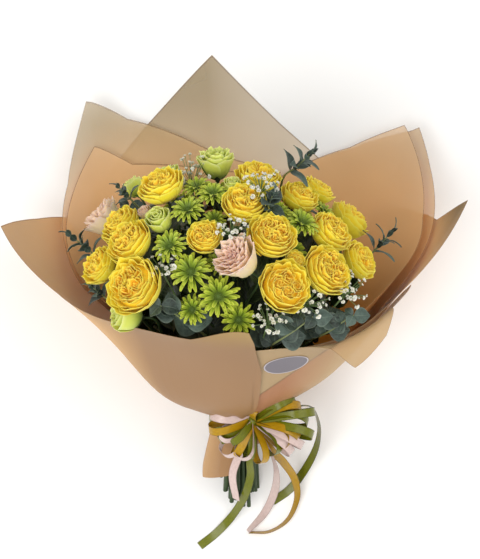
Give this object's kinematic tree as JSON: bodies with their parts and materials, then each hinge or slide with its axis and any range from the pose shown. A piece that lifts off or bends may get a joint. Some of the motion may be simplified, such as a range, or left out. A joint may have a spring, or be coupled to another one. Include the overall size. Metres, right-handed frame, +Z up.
{
  "type": "mixed flower bouquet",
  "caption": "Hand-tied bouquet of garden roses, lisianthus, chrysanthemums, eucalyptus and gypsophila in a frosted film wrap tied with satin ribbon, lying on its back.",
  "frame": {"origin": "middle of the whole bouquet's outline, on the surface it lies on", "axes": "+Y along the bouquet from the cut stems to the heads, +Z up from the surface, +X across the wrap"},
  "size_m": [0.5412, 0.5974, 0.3459],
  "materials": {
    "film": "satin",
    "label": "satin",
    "ribbon": "satin",
    "binding": "matte",
    "stem": "matte",
    "rose": "matte",
    "lisianthus_lime": "matte",
    "lisianthus_blush": "matte",
    "chrysanthemum": "matte",
    "eucalyptus": "matte",
    "gypsophila": "matte"
  },
  "bodies": {
    "root": {"binding": "binding", "chrysanthemum_spray_1": "chrysanthemum", "chrysanthemum_spray_2": "chrysanthemum", "chrysanthemum_spray_3": "chrysanthemum", "chrysanthemum_spray_4": "chrysanthemum", "chrysanthemum_spray_5": "chrysanthemum", "eucalyptus_1": "eucalyptus", "eucalyptus_10": "eucalyptus", "eucalyptus_2": "eucalyptus", "eucalyptus_3": "eucalyptus", "eucalyptus_4": "eucalyptus", "eucalyptus_5": "eucalyptus", "eucalyptus_6": "eucalyptus", "eucalyptus_7": "eucalyptus", "eucalyptus_8": "eucalyptus", "eucalyptus_9": "eucalyptus", "film_back": "film", "film_back_left": "film", "film_back_right": "film", "film_front_left": "film", "film_front_right": "film", "film_liner": "film", "film_right": "film", "gypsophila_1": "gypsophila", "gypsophila_2": "gypsophila", "gypsophila_3": "gypsophila", "gypsophila_4": "gypsophila", "gypsophila_5": "gypsophila", "gypsophila_6": "gypsophila", "gypsophila_7": "gypsophila", "label": "label", "lisianthus_blush_01": "lisianthus_blush", "lisianthus_blush_02": "lisianthus_blush", "lisianthus_blush_03": "lisianthus_blush", "lisianthus_lime_01": "lisianthus_lime", "lisianthus_lime_02": "lisianthus_lime", "lisianthus_lime_03": "lisianthus_lime", "lisianthus_lime_04": "lisianthus_lime", "lisianthus_lime_05": "lisianthus_lime", "lisianthus_lime_06": "lisianthus_lime", "ribbon_bow": "ribbon", "rose_01": "rose", "rose_02": "rose", "rose_03": "rose", "rose_04": "rose", "rose_05": "rose", "rose_06": "rose", "rose_07": "rose", "rose_08": "rose", "rose_09": "rose", "rose_10": "rose", "rose_11": "rose", "rose_12": "rose", "rose_13": "rose", "rose_14": "rose", "rose_15": "rose", "rose_16": "rose", "rose_17": "rose", "stem_bundle": "stem"}
  },
  "joints": []
}
